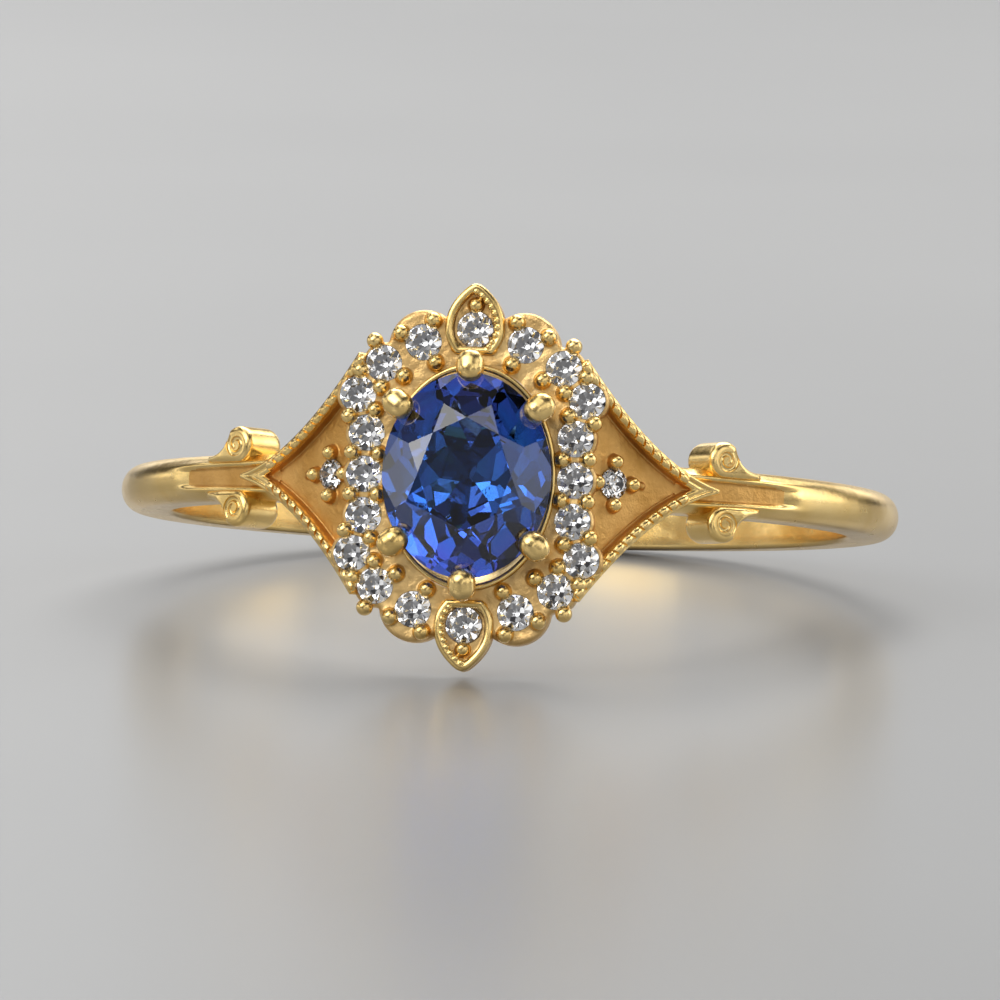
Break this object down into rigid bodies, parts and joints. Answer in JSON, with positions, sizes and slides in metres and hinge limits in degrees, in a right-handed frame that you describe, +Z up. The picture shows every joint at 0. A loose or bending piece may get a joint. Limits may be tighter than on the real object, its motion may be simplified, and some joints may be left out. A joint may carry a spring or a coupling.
{
  "type": "engagement ring",
  "caption": "Yellow gold engagement ring with an oval blue sapphire in a scalloped diamond halo, kite shoulders and small scrolls, lying on a table.",
  "frame": {"origin": "middle of the footprint of the ring as it lies on a table, at table height", "axes": "+Z up from the table; -Y the way the head and the centre stone face, a little upwards; +X to the right as seen from in front of the head"},
  "size_m": [0.0198, 0.0218, 0.0096],
  "materials": {
    "gold": "satin",
    "sapphire": "polished",
    "diamond": "polished"
  },
  "bodies": {
    "root": {"shank": "gold", "halo_plate": "gold", "gallery_collar": "gold", "petal_top": "gold", "petal_bottom": "gold", "shoulder_left": "gold", "shoulder_right": "gold", "scroll_left_upper": "gold", "scroll_left_lower": "gold", "scroll_right_upper": "gold", "scroll_right_lower": "gold", "prong_1": "gold", "prong_2": "gold", "prong_3": "gold", "prong_4": "gold", "prong_5": "gold", "prong_6": "gold", "centre_sapphire": "sapphire", "halo_diamond_01": "diamond", "halo_diamond_02": "diamond", "halo_diamond_03": "diamond", "halo_diamond_04": "diamond", "halo_diamond_05": "diamond", "halo_diamond_06": "diamond", "halo_diamond_07": "diamond", "halo_diamond_08": "diamond", "halo_diamond_09": "diamond", "halo_diamond_10": "diamond", "halo_diamond_11": "diamond", "halo_diamond_12": "diamond", "halo_diamond_13": "diamond", "halo_diamond_14": "diamond", "halo_diamond_15": "diamond", "halo_diamond_16": "diamond", "halo_diamond_17": "diamond", "halo_diamond_18": "diamond", "petal_diamond_top": "diamond", "petal_diamond_bottom": "diamond", "shoulder_diamond_left": "diamond", "shoulder_diamond_right": "diamond"}
  },
  "joints": []
}
